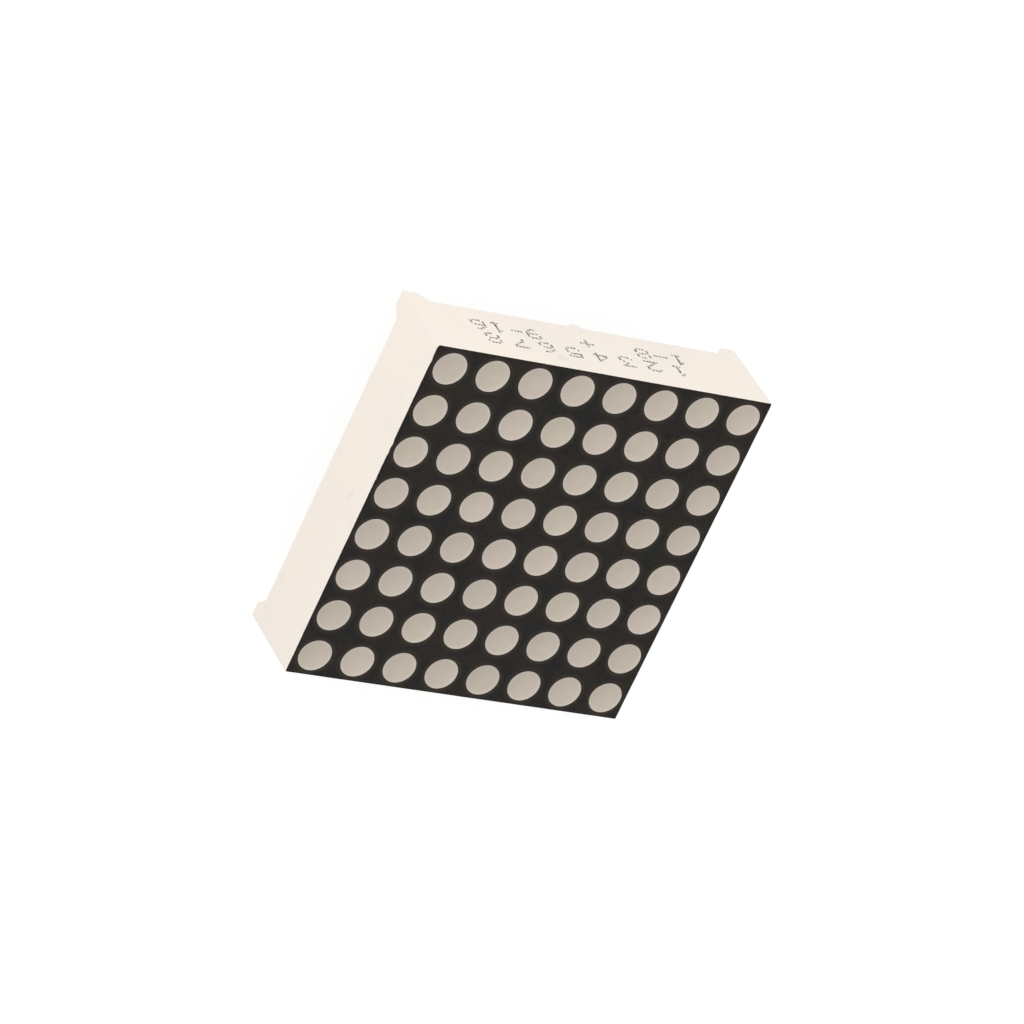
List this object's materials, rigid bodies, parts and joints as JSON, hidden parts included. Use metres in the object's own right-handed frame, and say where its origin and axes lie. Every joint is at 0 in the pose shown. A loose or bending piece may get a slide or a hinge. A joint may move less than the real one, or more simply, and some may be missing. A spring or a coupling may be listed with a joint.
{
  "type": "led dot matrix",
  "caption": "Square potted LED dot matrix: round diffused dots in a black face, an ivory reflector housing with ramped corner feet, and two rows of straight wire pins.",
  "frame": {"origin": "under the middle of the square housing, on the plane of the pin tips", "axes": "+Z is the way the dots face, out of the black face; X runs along the rows of dots and the rows of pins; +Y is towards the printed side, the side with the small nub on its rim and with pins 1 to 8"},
  "size_m": [0.0318, 0.0318, 0.013],
  "materials": {
    "ivory_plastic": "satin moulded ivory",
    "black_ink": "matt black layer",
    "diffused_epoxy": "milky greige casting resin",
    "board": "white solder mask on laminate",
    "tinned_wire": "tinned wire",
    "solder": "solder",
    "copper_foil": "copper",
    "gold_wire": "gold",
    "chip": "polished die"
  },
  "bodies": {
    "root": {"housing": "ivory_plastic", "face_mask": "black_ink", "epoxy_fill": "diffused_epoxy", "circuit_board": "board", "pin_1": "tinned_wire", "pin_2": "tinned_wire", "pin_3": "tinned_wire", "pin_4": "tinned_wire", "pin_5": "tinned_wire", "pin_6": "tinned_wire", "pin_7": "tinned_wire", "pin_8": "tinned_wire", "pin_9": "tinned_wire", "pin_10": "tinned_wire", "pin_11": "tinned_wire", "pin_12": "tinned_wire", "pin_13": "tinned_wire", "pin_14": "tinned_wire", "pin_15": "tinned_wire", "pin_16": "tinned_wire", "solder_pins_1_to_8": "solder", "solder_pins_9_to_16": "solder", "led_row_1": "chip", "led_row_2": "chip", "led_row_3": "chip", "led_row_4": "chip", "led_row_5": "chip", "led_row_6": "chip", "led_row_7": "chip", "led_row_8": "chip", "bond_wires_row_1": "gold_wire", "bond_wires_row_2": "gold_wire", "bond_wires_row_3": "gold_wire", "bond_wires_row_4": "gold_wire", "bond_wires_row_5": "gold_wire", "bond_wires_row_6": "gold_wire", "bond_wires_row_7": "gold_wire", "bond_wires_row_8": "gold_wire", "track_row_1": "copper_foil", "track_row_2": "copper_foil", "track_row_3": "copper_foil", "track_row_4": "copper_foil", "track_row_5": "copper_foil", "track_row_6": "copper_foil", "track_row_7": "copper_foil", "track_row_8": "copper_foil", "track_column_1": "copper_foil", "track_column_2": "copper_foil", "track_column_3": "copper_foil", "track_column_4": "copper_foil", "track_column_5": "copper_foil", "track_column_6": "copper_foil", "track_column_7": "copper_foil", "track_column_8": "copper_foil"}
  },
  "joints": []
}
